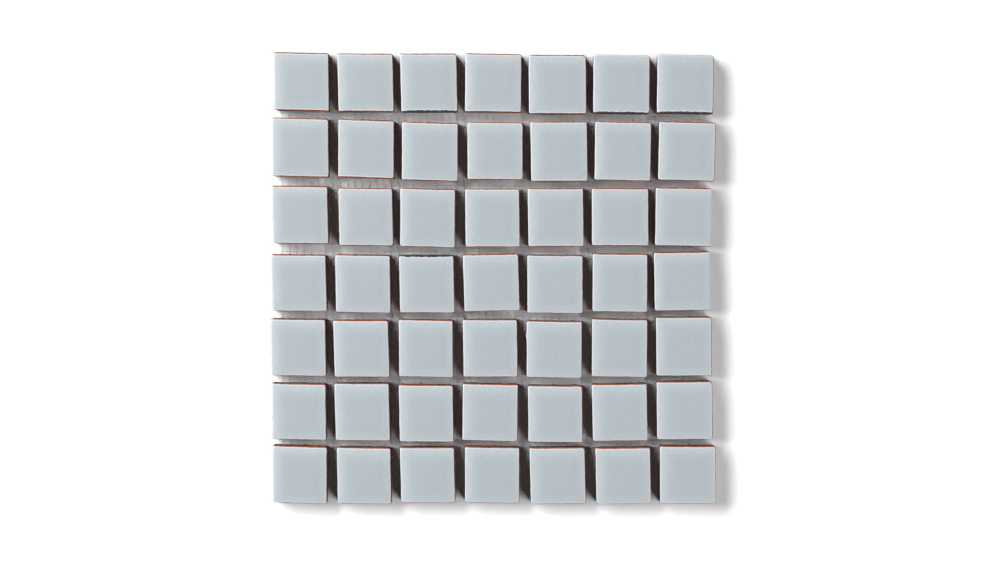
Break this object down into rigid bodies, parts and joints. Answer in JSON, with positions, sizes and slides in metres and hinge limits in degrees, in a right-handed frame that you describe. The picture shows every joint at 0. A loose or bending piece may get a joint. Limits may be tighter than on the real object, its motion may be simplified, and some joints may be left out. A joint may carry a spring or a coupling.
{
  "type": "mosaic tile sheet",
  "caption": "Square sheet of hand-made mosaic tiles: red clay with a pale blue-grey satin glaze, laid a little unevenly on a glass-fibre net with open grout joints.",
  "frame": {"origin": "the middle of the net's underside, where the sheet lies on its bed", "axes": "+X to the right along a row, +Y up the sheet, +Z out of the glazed faces"},
  "size_m": [0.305, 0.309, 0.0101],
  "materials": {
    "tile": "satin",
    "net": "matte"
  },
  "bodies": {
    "root": {"net_warp": "net", "net_weft": "net", "tile_r1_c1": "tile", "tile_r1_c2": "tile", "tile_r1_c3": "tile", "tile_r1_c4": "tile", "tile_r1_c5": "tile", "tile_r1_c6": "tile", "tile_r1_c7": "tile", "tile_r2_c1": "tile", "tile_r2_c2": "tile", "tile_r2_c3": "tile", "tile_r2_c4": "tile", "tile_r2_c5": "tile", "tile_r2_c6": "tile", "tile_r2_c7": "tile", "tile_r3_c1": "tile", "tile_r3_c2": "tile", "tile_r3_c3": "tile", "tile_r3_c4": "tile", "tile_r3_c5": "tile", "tile_r3_c6": "tile", "tile_r3_c7": "tile", "tile_r4_c1": "tile", "tile_r4_c2": "tile", "tile_r4_c3": "tile", "tile_r4_c4": "tile", "tile_r4_c5": "tile", "tile_r4_c6": "tile", "tile_r4_c7": "tile", "tile_r5_c1": "tile", "tile_r5_c2": "tile", "tile_r5_c3": "tile", "tile_r5_c4": "tile", "tile_r5_c5": "tile", "tile_r5_c6": "tile", "tile_r5_c7": "tile", "tile_r6_c1": "tile", "tile_r6_c2": "tile", "tile_r6_c3": "tile", "tile_r6_c4": "tile", "tile_r6_c5": "tile", "tile_r6_c6": "tile", "tile_r6_c7": "tile", "tile_r7_c1": "tile", "tile_r7_c2": "tile", "tile_r7_c3": "tile", "tile_r7_c4": "tile", "tile_r7_c5": "tile", "tile_r7_c6": "tile", "tile_r7_c7": "tile"}
  },
  "joints": []
}
